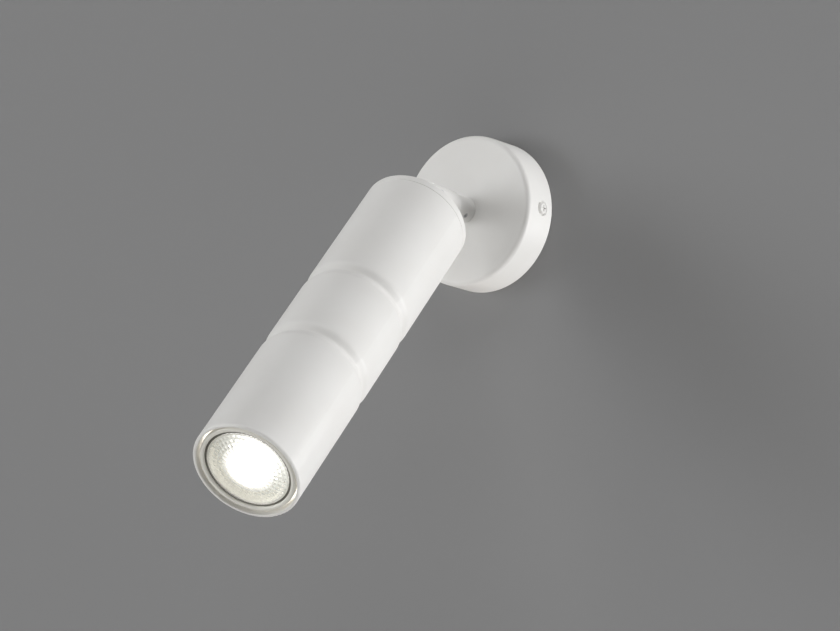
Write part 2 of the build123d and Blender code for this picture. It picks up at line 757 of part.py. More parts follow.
def make_holder_screws():
    """Two screws that hold the lampholder on the carrier plate."""
    seat = holder_front - holder_screw_sink
    tip = plate_back - holder_screw_end
    screw = pan_screw(m3_radius, m3_head_radius, m3_head_height, seat, tip)
    return Pos(holder_screw_spacing / 2, 0, 0) * screw + Pos(-holder_screw_spacing / 2, 0, 0) * screw


def contact_place():
    """Where a contact strip stands, just clear of the pin's head."""
    return Pos(0, pin_head_radius + slip_gap + contact_thickness / 2, 0)


def make_holder_contacts():
    """Sprung contact strip in a recess beside each pocket."""
    strip = bar(contact_width, contact_thickness, pocket_floor, pocket_floor + contact_length)
    contacts = Part()
    for side in (-1, 1):
        contacts += Pos(side * pin_spacing / 2, 0, 0) * contact_place() * strip
    return contacts


def lamp_solid(wall):
    """Turned solid inside the glass's flank, the given wall thickness from its outside."""
    start = (lamp_radius - lamp_shoulder - wall, 0, lamp_front - lamp_rim)
    end = (lamp_neck_radius - wall, 0, lamp_front - lamp_neck_place)
    lean = (start[0] - end[0]) / (start[2] - end[2])
    size = sqrt(1 + lean ** 2)
    middle = ((start[0] + end[0]) / 2 + lamp_belly / size, 0,
              (start[2] + end[2]) / 2 - lamp_belly * lean / size)
    flank = [ThreePointArc(start, middle, end), Line(end, (0, 0, end[2]))]
    flank += [Line((0, 0, end[2]), (0, 0, start[2])), Line((0, 0, start[2]), start)]
    return revolve(make_face(flank), Axis.Z)


def make_lamp_glass():
    """Glass body: thick rim, curved flank, and a ledge for the board."""
    rim = rod(lamp_radius, lamp_front - lamp_rim, lamp_front)
    rim = fillet(top_circle(rim), lamp_rim_round)
    body = rim + lamp_solid(0.0)
    ledge = lamp_front - board_place - board_thickness
    neck = lamp_front - lamp_neck_place
    below = lamp_solid(lamp_wall) & rod(board_radius - board_ledge, neck, ledge)
    body -= below
    body -= rod(lamp_neck_radius - lamp_wall, neck, neck + base_socket)
    body -= rod(board_radius + slip_gap, ledge, lamp_front)
    return body - rod(lens_hole, lamp_front - lens_sink - lens_thickness, lamp_front)


def make_lamp_lens():
    """Front lens, slightly domed."""
    low = lamp_front - lens_sink - lens_thickness
    edge = low + lens_thickness - lens_dome
    outline = [Line((0, 0, low), (lens_radius, 0, low))]
    outline.append(Line((lens_radius, 0, low), (lens_radius, 0, edge)))
    rise = (lens_radius ** 2 + lens_dome ** 2) / (2 * lens_dome)
    half = lens_radius / 2
    middle = edge + lens_dome - rise + sqrt(rise ** 2 - half ** 2)
    outline.append(ThreePointArc((lens_radius, 0, edge), (half, 0, middle), (0, 0, edge + lens_dome)))
    outline.append(Line((0, 0, edge + lens_dome), (0, 0, low)))
    return revolve(make_face(outline), Axis.Z)


def make_led_board():
    """Round board with two holes for the driver's wires."""
    top = lamp_front - board_place
    board = rod(board_radius, top - board_thickness, top)
    for side in (-1, 1):
        board -= Pos(side * pin_spacing / 2, 0, 0) * rod(lead_radius, top - board_thickness, top)
    return board


def make_led_chips():
    """Light-emitting chips in a ring on the board, with one in the middle."""
    top = lamp_front - board_place
    chips = bar(chip_size, chip_size, top, top + chip_height)
    for chip in range(chip_count):
        turn = Rot(Z=chip * 360 / chip_count)
        chips += turn * Pos(chip_ring, 0, 0) * bar(chip_size, chip_size, top, top + chip_height)
    return chips


def make_lamp_base():
    """Moulded base: a collar in the glass, a taper, and the foot that carries the pins."""
    neck = lamp_front - lamp_neck_place
    base = rod(lamp_neck_radius, lamp_back + base_taper, neck)
    base += cone(base_end_radius, lamp_neck_radius, lamp_back, lamp_back + base_taper)
    collar = lamp_neck_radius - lamp_wall - slip_gap
    base += rod(collar, neck, neck + base_socket)
    base -= rod(collar - base_wall, lamp_back + base_taper, neck + base_socket)
    base -= rod(driver_width / 2 + slip_gap, lamp_back + base_wall, lamp_back + base_taper)
    for side in (-1, 1):
        base -= Pos(side * pin_spacing / 2, 0, 0) * rod(pin_radius + slip_gap, lamp_back, driver_foot)
    return base


def make_lamp_driver():
    """Driver board standing in the base."""
    return bar(driver_width, driver_thickness, driver_foot, driver_foot + driver_length)


def make_lamp_pins():
    """Two pins with heads, for the holder's twist-lock."""
    end = lamp_back - pin_length
    pin = rod(pin_radius, end, driver_foot - slip_gap)
    pin += rod(pin_head_radius, end, end + pin_head_height)
    return Pos(pin_spacing / 2, 0, 0) * pin + Pos(-pin_spacing / 2, 0, 0) * pin


def make_head_lead(side):
    """Lead from the knuckle's wire slot through the tube to one lead hole of the holder."""
    across = side * head_lead_offset
    out = side * pin_spacing / 2
    middle = (knuckle_length + plate_back) / 2
    return lead((0, across, tongue_core_radius + lead_radius), (0, across, middle),
                (out, 0, plate_back - holder_lead_run), (out, 0, pocket_floor - slip_gap))


def make_head_earth_lead():
    """Lead from the head's earth tag, over in one loop and down into the knuckle."""
    reach = head_earth_offset + tag_reach
    crown = cap_inner + earth_loop_height
    foot = head_tag_level + tag_wall + slip_gap
    return lead((reach, 0, foot), (reach, 0, crown), (0, 0, crown),
                (0, 0, tongue_core_radius + lead_radius))


# ---------------------------------------------------------------- put together
ON_WALL = Rot(X=90)
ON_FORK = ON_WALL * Rot(Z=rest_swivel)
ON_HEAD = ON_FORK * Pos(0, 0, pivot_level) * Rot(X=rest_tilt)

PIECES = {
    "canopy_cup": (ON_WALL, make_canopy_cup),
    "wall_bracket": (ON_WALL, make_wall_bracket),
    "side_screws": (ON_WALL, make_side_screws),
    "terminal_block": (ON_WALL, make_terminal_block),
    "terminal_sleeves": (ON_WALL, make_terminal_sleeves),
    "clamp_screws": (ON_WALL, make_clamp_screws),
    "block_screw": (ON_WALL, make_block_screw),
    "earth_screw": (ON_WALL, make_earth_screw),
    "earth_tag": (ON_WALL, make_canopy_earth_tag),
    "live_lead": (ON_WALL, lambda: make_canopy_lead(1)),
    "neutral_lead": (ON_WALL, lambda: make_canopy_lead(-1)),
    "earth_lead": (ON_WALL, make_canopy_earth_lead),
    "neck": (ON_WALL, make_neck),
    "neck_grub_screw": (ON_WALL, make_neck_grub_screw),
    "neck_nut": (ON_WALL, make_neck_nut),
    "neck_washer": (ON_WALL, make_neck_washer),
    "swivel_washer": (ON_FORK, make_swivel_washer),
    "swivel_fork": (ON_FORK, make_swivel_fork),
    "hinge_screw": (ON_FORK, make_hinge_screw),
    "hinge_nut": (ON_FORK, make_hinge_nut),
    "tilt_washers": (ON_FORK, make_tilt_washers),
    "tilt_knuckle": (ON_HEAD, make_tilt_knuckle),
    "knuckle_washer": (ON_HEAD, make_knuckle_washer),
    "knuckle_nut": (ON_HEAD, make_knuckle_nut),
    "rear_cap": (ON_HEAD, make_rear_cap),
    "lamp_tube": (ON_HEAD, make_lamp_tube),
    "tie_screws": (ON_HEAD, make_tie_screws),
    "carrier_plate": (ON_HEAD, make_carrier_plate),
    "lampholder": (ON_HEAD, make_lampholder),
    "holder_screws": (ON_HEAD, make_holder_screws),
    "holder_contacts": (ON_HEAD, make_holder_contacts),
    "head_earth_screw": (ON_HEAD, make_head_earth_screw),
    "head_earth_tag": (ON_HEAD, make_head_earth_tag),
    "head_live_lead": (ON_HEAD, lambda: make_head_lead(1)),
    "head_neutral_lead": (ON_HEAD, lambda: make_head_lead(-1)),
    "head_earth_lead": (ON_HEAD, make_head_earth_lead),
    "lamp_glass": (ON_HEAD, make_lamp_glass),
    "lamp_lens": (ON_HEAD, make_lamp_lens),
    "led_board": (ON_HEAD, make_led_board),
    "led_chips": (ON_HEAD, make_led_chips),
    "lamp_base": (ON_HEAD, make_lamp_base),
    "lamp_driver": (ON_HEAD, make_lamp_driver),
    "lamp_pins": (ON_HEAD, make_lamp_pins),
}

for node, (place, make) in PIECES.items():
    export_step(place * make(), f"parts/{node}.step")
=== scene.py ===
# %% [markdown]
# # A pivoting spotlight on its wall
#
# The lamp has three moving groups. The canopy stays on the wall, the fork turns in the canopy's
# neck, and the head tilts in the fork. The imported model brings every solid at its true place.
# This script leaves those solids where they are, gives each one its finish, and models again the
# few pieces that need more detail than a solid carries: the dimpled lens, the lamp's shell, the
# light chips and the neck's thread.

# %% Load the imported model
import json
from math import cos, pi, radians, sin, sqrt

import bpy
from mathutils import Matrix, Vector


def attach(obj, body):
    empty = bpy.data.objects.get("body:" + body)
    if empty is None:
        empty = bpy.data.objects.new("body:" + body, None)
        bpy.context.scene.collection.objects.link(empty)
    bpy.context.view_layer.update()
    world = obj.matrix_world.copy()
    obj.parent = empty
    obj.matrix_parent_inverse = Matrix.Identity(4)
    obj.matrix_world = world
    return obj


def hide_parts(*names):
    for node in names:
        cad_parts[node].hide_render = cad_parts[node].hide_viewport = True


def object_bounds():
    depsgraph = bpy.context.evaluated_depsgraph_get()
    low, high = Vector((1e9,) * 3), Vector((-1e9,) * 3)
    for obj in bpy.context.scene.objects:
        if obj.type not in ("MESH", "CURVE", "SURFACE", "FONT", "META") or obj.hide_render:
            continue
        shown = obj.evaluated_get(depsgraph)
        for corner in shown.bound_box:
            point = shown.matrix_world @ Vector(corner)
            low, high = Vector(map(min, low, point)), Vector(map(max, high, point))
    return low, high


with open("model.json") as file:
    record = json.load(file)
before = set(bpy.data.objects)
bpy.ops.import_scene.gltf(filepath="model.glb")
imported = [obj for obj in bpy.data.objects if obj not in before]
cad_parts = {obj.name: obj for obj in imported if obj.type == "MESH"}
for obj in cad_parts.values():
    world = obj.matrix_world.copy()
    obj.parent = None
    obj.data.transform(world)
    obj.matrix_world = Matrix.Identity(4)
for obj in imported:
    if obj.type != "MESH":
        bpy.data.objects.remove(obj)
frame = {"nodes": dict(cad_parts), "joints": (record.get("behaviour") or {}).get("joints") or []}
cad_low, cad_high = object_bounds()
MM = 0.001
cad_box = [round((high - low) / MM, 1) for low, high in zip(cad_low, cad_high)]
print("nodes:", len(frame["nodes"]), "box in mm:", cad_box)

# %% [markdown]
# ## The camera
#
# The photographer stood far to the right, a little below the lamp, with a long lens. A long lens
# keeps the round forms from stretching. The place and the turn were solved from the picture's
# outline of the canopy and the tube, so the camera comes first.

# %% Camera
camera = bpy.data.objects.new("camera", bpy.data.cameras.new("camera"))
bpy.context.scene.collection.objects.link(camera)
camera.location = (1.12785, -1.58318, -0.38551)
camera.rotation_euler = [radians(angle) for angle in (99.698, -2.2595, 36.0834)]
camera.data.sensor_width = 36
camera.data.lens = 161.43
camera.data.clip_end = 20
bpy.context.scene.camera = camera
print("camera is", round(camera.location.length, 2), "m from the canopy")

# %% [markdown]
# ## Two frames to build in
#
# The canopy's pieces point straight out from the wall, and the head's pieces point along the tube.
# Each group gets a matrix: its Z axis runs out of the wall, or out of the tube's mouth. A piece is
# then drawn upright on its own Z axis and carried to its place by that one matrix. The head's
# matrix comes from the tilt joint, so it can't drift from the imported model.


# %% Frames of the canopy and of the head
def frame_at(origin, along, across):
    """A matrix whose Z axis is along and whose X axis is across."""
    upward = along.cross(across)
    turn = Matrix((across, upward, along)).transposed()
    return Matrix.Translation(origin) @ turn.to_4x4()


out_of_wall = Vector((0, -1, 0))
wall_frame = frame_at(Vector(), out_of_wall, Vector((1, 0, 0)))
tilt_joint = next(joint for joint in frame["joints"] if joint["name"] == "head_tilt")
tilt_axis = Vector(tilt_joint["axis"]).normalized()
rest_tilt = radians(90 - tilt_joint["range_deg"][1])
tube_line = Matrix.Rotation(rest_tilt, 3, tilt_axis) @ out_of_wall
head_frame = frame_at(Vector(tilt_joint["pos_m"]), tube_line, tilt_axis)
print("the tube points", [round(part, 3) for part in tube_line])


# %% Where a node lies in a frame
def span(node, place):
    """Lowest and highest point of a node along a frame's Z axis, and its widest radius."""
    inverse = place.inverted()
    points = [inverse @ vertex.co for vertex in frame["nodes"][node].data.vertices]
    widest = max(sqrt(point.x ** 2 + point.y ** 2) for point in points)
    return min(point.z for point in points), max(point.z for point in points), widest


for name in ("lamp_tube", "lamp_glass", "lamp_lens"):
    low, high, radius = span(name, head_frame)
    print(name, "from", round(low / MM, 2), "to", round(high / MM, 2), "mm, radius", round(radius / MM, 2))

# %% [markdown]
# ## The wall and the floor
#
# A wall light needs its wall, because half of what the eye reads is the soft shadow beside it.
# The wall is one flat sheet just behind the canopy. From behind it turns transparent, so that the
# lamp's back can be looked at too. The floor is far below, as under a real wall light, and sends
# a little light back up. Neither stops a lamp's light, so lamps can also stand behind them, as
# they do behind a paper backdrop.


# %% Stage
def stage_sheet(name, corners, colour):
    """A flat sheet that shows on its front only and stops no lamp's light."""
    mesh = bpy.data.meshes.new(name)
    mesh.from_pydata(corners, [], [(0, 1, 2, 3)])
    sheet = bpy.data.objects.new(name, mesh)
    bpy.context.scene.collection.objects.link(sheet)
    material = bpy.data.materials.new(name)
    material.use_nodes = True
    nodes, links = material.node_tree.nodes, material.node_tree.links
    nodes["Principled BSDF"].inputs["Base Color"].default_value = (*colour, 1)
    nodes["Principled BSDF"].inputs["Roughness"].default_value = 0.9
    nodes["Principled BSDF"].inputs["Specular IOR Level"].default_value = 0
    hidden = nodes.new("ShaderNodeMath")
    hidden.operation = "MAXIMUM"
    links.new(nodes.new("ShaderNodeNewGeometry").outputs["Backfacing"], hidden.inputs[0])
    links.new(nodes.new("ShaderNodeLightPath").outputs["Is Shadow Ray"], hidden.inputs[1])
    mix = nodes.new("ShaderNodeMixShader")
    links.new(hidden.outputs[0], mix.inputs[0])
    links.new(nodes["Principled BSDF"].outputs[0], mix.inputs[1])
    links.new(nodes.new("ShaderNodeBsdfTransparent").outputs[0], mix.inputs[2])
    links.new(mix.outputs[0], nodes["Material Output"].inputs["Surface"])
    mesh.materials.append(material)
    return sheet


wall_y, floor_z, reach = 0.0004, -1.6, 3.0
WALL_COLOUR = (0.284, 0.284, 0.287)
FLOOR_COLOUR = (0.72, 0.71, 0.69)
wall = stage_sheet("wall", [(-reach, wall_y, floor_z), (reach, wall_y, floor_z),
                            (reach, wall_y, reach), (-reach, wall_y, reach)], WALL_COLOUR)
floor = stage_sheet("floor", [(-reach, -2 * reach, floor_z), (reach, -2 * reach, floor_z),
                              (reach, wall_y, floor_z), (-reach, wall_y, floor_z)], FLOOR_COLOUR)
print("wall faces", wall.data.polygons[0].normal[:], "floor faces", floor.data.polygons[0].normal[:])

# %% [markdown]
# ## The light
#
# The shadow on the wall tells where the light is: up to the left, and wide, since its edge melts
# away. Sun lamps are used because a sun lights a flat wall evenly, as in the picture. A wide angle
# makes a soft edge, as a big diffuser does in a studio. Three keys at slightly different angles
# blur the shadow along its length. The neck is dim while the tube's right side is bright, so the
# light on the right must come past the canopy from behind it. Soft light from above and below
# fills the rest. The room itself gives no light, but what looks at it, mirrors it or sees it
# through glass finds the backdrop's grey.
#
# Reading a picture gives directions, but not strengths. So several sets of lamps were tried, and
# each lamp was rendered alone. The strengths were then solved so that the sum comes close to the
# picture's brightness, and rounded. Such a fit matches this one picture, and doesn't prove how the
# studio was lit.


# %% Lamps
def sun(name, travels, strength, spread, colour=(1, 1, 1)):
    """Hangs a sun whose light travels that way, spread over that many degrees."""
    lamp = bpy.data.lights.new(name, "SUN")
    lamp.energy = strength
    lamp.angle = radians(spread)
    lamp.color = colour
    holder = bpy.data.objects.new(name, lamp)
    holder.rotation_mode = "QUATERNION"
    holder.rotation_quaternion = Vector(travels).to_track_quat("-Z", "Y")
    bpy.context.scene.collection.objects.link(holder)


sun("key", (0.712, 1.0, -0.09), 0.464, 35, (1.0, 0.985, 0.95))
sun("side_key", (1.0, 0.8, -0.05), 0.575, 25, (0.95, 0.975, 1.0))
sun("rising_key", (0.8, 1.0, 0.3), 0.245, 25)
sun("behind_right", (-1.0, -0.6, 0.2), 2.89, 35)
sun("behind_below", (0.0, -0.4, 1.0), 0.86, 50, (1.0, 0.93, 0.88))
sun("low_front", (0.0, 0.7, 0.7), 2.0, 90)
sun("top", (-0.3, 0.3, -1.0), 1.26, 50)
sun("top_front", (0.3, 0.8, -0.6), 0.21, 50)

world = bpy.data.worlds.new("room")
world.use_nodes = True
bpy.context.scene.world = world
ROOM_LIGHT = 0.0
BACKGROUND = 0.2158
nodes, links = world.node_tree.nodes, world.node_tree.links
nodes["Background"].inputs["Color"].default_value = (1, 1, 1, 1)
nodes["Background"].inputs["Strength"].default_value = ROOM_LIGHT
seen = nodes.new("ShaderNodeBackground")
seen.inputs["Color"].default_value = (BACKGROUND, BACKGROUND, BACKGROUND, 1)
choice = nodes.new("ShaderNodeMixShader")
ray = nodes.new("ShaderNodeLightPath")
looks = ray.outputs["Is Camera Ray"]
for kind in ("Is Glossy Ray", "Is Transmission Ray"):
    either = nodes.new("ShaderNodeMath")
    either.operation = "MAXIMUM"
    links.new(looks, either.inputs[0])
    links.new(ray.outputs[kind], either.inputs[1])
    looks = either.outputs[0]
links.new(looks, choice.inputs[0])
links.new(nodes["Background"].outputs[0], choice.inputs[1])
links.new(seen.outputs[0], choice.inputs[2])
links.new(choice.outputs[0], nodes["World Output"].inputs["Surface"])
bpy.context.scene.view_settings.view_transform = "Standard"

# %% [markdown]
# ## Finishes
#
# Real finishes are never one flat colour. Powder coat has a fine orange peel, zinc plate has
# cloudy patches, and moulded plastic has a soft spark grain. Each finish here is one Principled
# shader with its plain numbers on its own sockets. Noise in object space then varies the colour
# and the roughness and raises the grain, at the size that the real grain has.


# %% Helpers for finishes
def finish(name, colour, roughness, **sockets):
    """A material with its Principled shader set; sockets use underscores for spaces."""
    material = bpy.data.materials.new(name)
    material.use_nodes = True
    shader = material.node_tree.nodes["Principled BSDF"]
    shader.inputs["Base Color"].default_value = (*colour, 1)
    shader.inputs["Roughness"].default_value = roughness
    for socket, value in sockets.items():
        shader.inputs[socket.replace("_", " ")].default_value = value
    return material


def noise(material, size, detail=2.0):
    """Clouds of about that size in metres, as a value from 0 to 1."""
    nodes, links = material.node_tree.nodes, material.node_tree.links
    texture = nodes.new("ShaderNodeTexNoise")
    texture.inputs["Scale"].default_value = 1 / size
    texture.inputs["Detail"].default_value = detail
    links.new(nodes.new("ShaderNodeTexCoord").outputs["Object"], texture.inputs["Vector"])
    return texture.outputs["Fac"]


def vary_colour(material, value, low_colour, high_colour, low=0.35, high=0.65):
    """The base colour goes from one colour to the other with the value."""
    nodes, links = material.node_tree.nodes, material.node_tree.links
    ramp = nodes.new("ShaderNodeValToRGB")
    ramp.color_ramp.elements[0].position = low
    ramp.color_ramp.elements[0].color = (*low_colour, 1)
    ramp.color_ramp.elements[1].position = high
    ramp.color_ramp.elements[1].color = (*high_colour, 1)
    links.new(value, ramp.inputs["Fac"])
    links.new(ramp.outputs["Color"], nodes["Principled BSDF"].inputs["Base Color"])


def vary_roughness(material, value, smooth, rough):
    """The roughness goes from smooth to rough with the value."""
    nodes, links = material.node_tree.nodes, material.node_tree.links
    spread = nodes.new("ShaderNodeMapRange")
    spread.inputs["From Min"].default_value = 0.3
    spread.inputs["From Max"].default_value = 0.7
    spread.inputs["To Min"].default_value = smooth
    spread.inputs["To Max"].default_value = rough
    links.new(value, spread.inputs["Value"])
    links.new(spread.outputs["Result"], nodes["Principled BSDF"].inputs["Roughness"])


def raise_grain(material, value, height):
    """A relief of that height in metres."""
    nodes, links = material.node_tree.nodes, material.node_tree.links
    bump = nodes.new("ShaderNodeBump")
    bump.inputs["Distance"].default_value = height
    links.new(value, bump.inputs["Height"])
    links.new(bump.outputs["Normal"], nodes["Principled BSDF"].inputs["Normal"])


# %% [markdown]
# **Powder coat.** The canopy, the neck, the fork, the knuckle, the cap and the tube share one
# warm white powder coat. Up close it has an orange peel of about a millimetre, only some
# thousandths high, so a highlight breaks up softly while the outline stays clean.

# %% White powder coat
powder_coat = finish("white_powder_coat", (0.80, 0.79, 0.77), 0.42, Specular_IOR_Level=0.45)
raise_grain(powder_coat, noise(powder_coat, 0.0011), 0.000012)
vary_colour(powder_coat, noise(powder_coat, 0.03), (0.795, 0.785, 0.765), (0.815, 0.808, 0.79))
vary_roughness(powder_coat, noise(powder_coat, 0.004), 0.38, 0.48)

# %% [markdown]
# **Metals.** The bracket and the fasteners are zinc plated steel: a cool grey with cloudy patches.
# The terminals and tags are brass, and the lamp's pins are nickel. Metal gets its look from what
# it mirrors, so the colour stays plain and the roughness carries the patches.

# %% Metals
zinc = finish("zinc_plated_steel", (0.60, 0.61, 0.62), 0.34, Metallic=1.0)
vary_colour(zinc, noise(zinc, 0.006, 4.0), (0.52, 0.53, 0.55), (0.68, 0.68, 0.67))
vary_roughness(zinc, noise(zinc, 0.002, 4.0), 0.26, 0.44)
raise_grain(zinc, noise(zinc, 0.0004), 0.000004)
brass = finish("brass", (0.78, 0.60, 0.30), 0.30, Metallic=1.0)
vary_colour(brass, noise(brass, 0.004, 3.0), (0.68, 0.50, 0.24), (0.82, 0.65, 0.34))
vary_roughness(brass, noise(brass, 0.0015, 3.0), 0.22, 0.40)
nickel = finish("nickel", (0.70, 0.67, 0.62), 0.16, Metallic=1.0)
vary_roughness(nickel, noise(nickel, 0.0012, 3.0), 0.10, 0.24)
vary_colour(nickel, noise(nickel, 0.003), (0.66, 0.63, 0.58), (0.74, 0.71, 0.66))


# %% [markdown]
# **Plastics and ceramic.** Each moulded piece has a colour a little uneven from its mould, and a
# spark grain too fine to see as bumps. The lampholder is glazed steatite with small specks.

# %% Plastics and ceramic
def moulded(name, dark, light, roughness, grain=0.0004, height=0.000006):
    """A moulded plastic whose colour drifts between two tones."""
    material = finish(name, light, roughness)
    vary_colour(material, noise(material, 0.008), dark, light)
    vary_roughness(material, noise(material, 0.001), roughness - 0.06, roughness + 0.06)
    raise_grain(material, noise(material, grain), height)
    return material


# The joints' washers are near black: painted shade, so that each joint shows the dark shadow line of its
# gap.
shade_line_nylon = moulded("shade_line_nylon", (0.04, 0.04, 0.042), (0.055, 0.055, 0.058), 0.5)
terminal_plastic = moulded("terminal_plastic", (0.80, 0.80, 0.77), (0.86, 0.86, 0.83), 0.34)
lamp_plastic = moulded("lamp_plastic", (0.76, 0.76, 0.74), (0.82, 0.82, 0.80), 0.42)
steatite = moulded("steatite", (0.78, 0.76, 0.71), (0.85, 0.83, 0.78), 0.52, 0.0006, 0.00001)
live_plastic = moulded("live_sleeve", (0.13, 0.055, 0.028), (0.19, 0.085, 0.045), 0.36)
neutral_plastic = moulded("neutral_sleeve", (0.02, 0.10, 0.36), (0.03, 0.14, 0.45), 0.36)
green_board = moulded("driver_board", (0.02, 0.16, 0.06), (0.03, 0.22, 0.09), 0.3)
white_board = moulded("board_mask", (0.80, 0.81, 0.79), (0.86, 0.87, 0.85), 0.4)

# %% [markdown]
# ** Glass and lens.** The lamp's shell is pressed glass with a milky coat inside, so it looks like
# cream china. Some of the lamp's light leaks out through its side and lights the gap round it. A
# dark ring between the shell and the lens is painted shade: it stands for the shadow in the groove
# there. The lens is clear plastic and bends light. Light from the lamps outside has to pass it too,
# and a bent shadow ray never arrives, so a Transparent shader takes over for shadow rays.

# %% Glass and lens
milky_glass = finish("milky_glass", (0.83, 0.815, 0.755), 0.24, Coat_Weight=0.3, Coat_Roughness=0.1)
vary_colour(milky_glass, noise(milky_glass, 0.012), (0.81, 0.795, 0.735), (0.85, 0.835, 0.775))
raise_grain(milky_glass, noise(milky_glass, 0.002), 0.00001)

lit_glass = finish("lit_glass", (0.80, 0.79, 0.75), 0.3, Emission_Strength=1.7)
lit_glass.node_tree.nodes["Principled BSDF"].inputs["Emission Color"].default_value = (1.0, 0.96, 0.88, 1)
vary_colour(lit_glass, noise(lit_glass, 0.012), (0.78, 0.77, 0.73), (0.82, 0.81, 0.77))
# Painted shade: a near-black finish for the ring that draws the shadow in the groove between shell and lens.
shade_ring_finish = moulded("shade_ring_finish", (0.10, 0.097, 0.075), (0.13, 0.125, 0.10), 0.5)

lens_plastic = finish("lens_plastic", (0.97, 0.97, 0.96), 0.04, Transmission_Weight=1.0, IOR=1.49)
nodes, links = lens_plastic.node_tree.nodes, lens_plastic.node_tree.links
for_shadows = nodes.new("ShaderNodeMixShader")
passing = nodes.new("ShaderNodeBsdfTransparent")
passing.inputs["Color"].default_value = (0.97, 0.97, 0.96, 1)
links.new(nodes.new("ShaderNodeLightPath").outputs["Is Shadow Ray"], for_shadows.inputs[0])
links.new(nodes["Principled BSDF"].outputs[0], for_shadows.inputs[1])
links.new(passing.outputs[0], for_shadows.inputs[2])
links.new(for_shadows.outputs[0], nodes["Material Output"].inputs["Surface"])

# %% [markdown]
# **Light chips and their board.** A chip is a white package with a domed phosphor pad, and the pad
# glows when the lamp is on. The board under the chips is lit hard in the middle and less towards
# its edge. That glow is given to the board itself, as a fall with the distance from the lamp's axis.
# The lens scatters a little of the light, so it gets a glow of the same kind. These glows stand in
# for light that would take very long to trace, and their strengths were set.


# %% Glow
def glow(material, colour, middle, edge, from_radius, to_radius):
    """Emission that falls from the lamp's axis outwards, between two radii in metres."""
    nodes, links = material.node_tree.nodes, material.node_tree.links
    nodes["Principled BSDF"].inputs["Emission Color"].default_value = (*colour, 1)
    nodes["Principled BSDF"].inputs["Emission Strength"].default_value = edge
    offset = nodes.new("ShaderNodeVectorMath")
    offset.operation = "SUBTRACT"
    offset.inputs[1].default_value = head_frame.translation
    links.new(nodes.new("ShaderNodeTexCoord").outputs["Object"], offset.inputs[0])
    across = nodes.new("ShaderNodeVectorMath")
    across.operation = "CROSS_PRODUCT"
    across.inputs[1].default_value = tube_line
    links.new(offset.outputs[0], across.inputs[0])
    distance = nodes.new("ShaderNodeVectorMath")
    distance.operation = "LENGTH"
    links.new(across.outputs[0], distance.inputs[0])
    fall = nodes.new("ShaderNodeMapRange")
    fall.interpolation_type = "SMOOTHSTEP"
    for socket, value in (("From Min", from_radius), ("From Max", to_radius),
                          ("To Min", middle), ("To Max", edge)):
        fall.inputs[socket].default_value = value
    links.new(distance.outputs["Value"], fall.inputs["Value"])
    links.new(fall.outputs["Result"], nodes["Principled BSDF"].inputs["Emission Strength"])


phosphor = finish("phosphor", (0.9, 0.72, 0.25), 0.5, Emission_Strength=6.0)
phosphor.node_tree.nodes["Principled BSDF"].inputs["Emission Color"].default_value = (1.0, 0.96, 0.90, 1)
vary_colour(phosphor, noise(phosphor, 0.0008), (0.85, 0.66, 0.2), (0.95, 0.78, 0.3))
chip_plastic = moulded("chip_package", (0.84, 0.84, 0.82), (0.9, 0.9, 0.88), 0.35)
glow(white_board, (1.0, 0.975, 0.94), 0.6, 0.0, 6 * MM, 18 * MM)
glow(lens_plastic, (1.0, 0.98, 0.95), 1.0, 0.0, 3.5 * MM, 14.5 * MM)

# %% [markdown]
# **Striped earth lead.** An earth lead is green and yellow. Bands in object space, tilted against
# all three axes, cross the thin lead wherever it runs and show both colours along it.

# %% Striped sleeve
earth_plastic = finish("earth_sleeve", (0.07, 0.33, 0.055), 0.36)
bands = earth_plastic.node_tree.nodes.new("ShaderNodeTexWave")
bands.bands_direction = "DIAGONAL"
bands.inputs["Scale"].default_value = 190
earth_plastic.node_tree.links.new(
    earth_plastic.node_tree.nodes.new("ShaderNodeTexCoord").outputs["Object"], bands.inputs["Vector"])
vary_colour(earth_plastic, bands.outputs["Fac"], (0.06, 0.30, 0.05), (0.72, 0.62, 0.04), 0.47, 0.53)
vary_roughness(earth_plastic, noise(earth_plastic, 0.001), 0.3, 0.42)

# %% Every node gets its finish
FINISHES = {
    "canopy_cup side_screws neck swivel_fork tilt_knuckle rear_cap lamp_tube": powder_coat,
    "wall_bracket clamp_screws block_screw earth_screw neck_grub_screw neck_nut "
    "neck_washer hinge_screw hinge_nut knuckle_washer knuckle_nut tie_screws carrier_plate "
    "holder_screws head_earth_screw": zinc,
    "terminal_sleeves earth_tag head_earth_tag holder_contacts": brass,
    "lamp_pins": nickel,
    # Near-black washers: painted shade for the dark line in each joint.
    "swivel_washer tilt_washers": shade_line_nylon,
    "terminal_block": terminal_plastic,
    "live_lead head_live_lead": live_plastic,
    "neutral_lead head_neutral_lead": neutral_plastic,
    "earth_lead head_earth_lead": earth_plastic,
    "lampholder": steatite,
    "lamp_glass": milky_glass,
    "lamp_lens": lens_plastic,
    "led_board": white_board,
    "led_chips": phosphor,
    "lamp_base": lamp_plastic,
    "lamp_driver": green_board,
}
for names, material in FINISHES.items():
    for name in names.split():
        frame["nodes"][name].material_slots[0].material = material
dressed = sum(len(names.split()) for names in FINISHES)
print("finishes:", len(FINISHES), "for", dressed, "of", len(frame["nodes"]), "nodes")

# %% [markdown]
# ## The dimpled lens
#
# The lens spreads the light through rings of small pillows on its face. They are real relief,
# because a bump would not bend the light behind them. Both faces are one polar grid: rings of
# points, joined ring to ring, with the pillows standing on a shallow dome.


# %% Helpers for drawn pieces
def make_piece(name, points, faces, place, body, slot, *materials, second_from=None):
    """A mesh drawn in a frame and carried to its place, that rides on a body.

    Faces from second_from on take the second material.
    """
    mesh = bpy.data.meshes.new(name)
    mesh.from_pydata([place @ Vector(point) for point in points], [], faces)
    for material in materials:
        mesh.materials.append(material)
    for number, polygon in enumerate(mesh.polygons):
        polygon.use_smooth = True
        polygon.material_index = int(second_from is not None and number >= second_from)
    mesh.set_sharp_from_angle(angle=radians(40))
    piece = bpy.data.objects.new(name, mesh)
    bpy.context.scene.collection.objects.link(piece)
    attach(piece, body)
    return piece


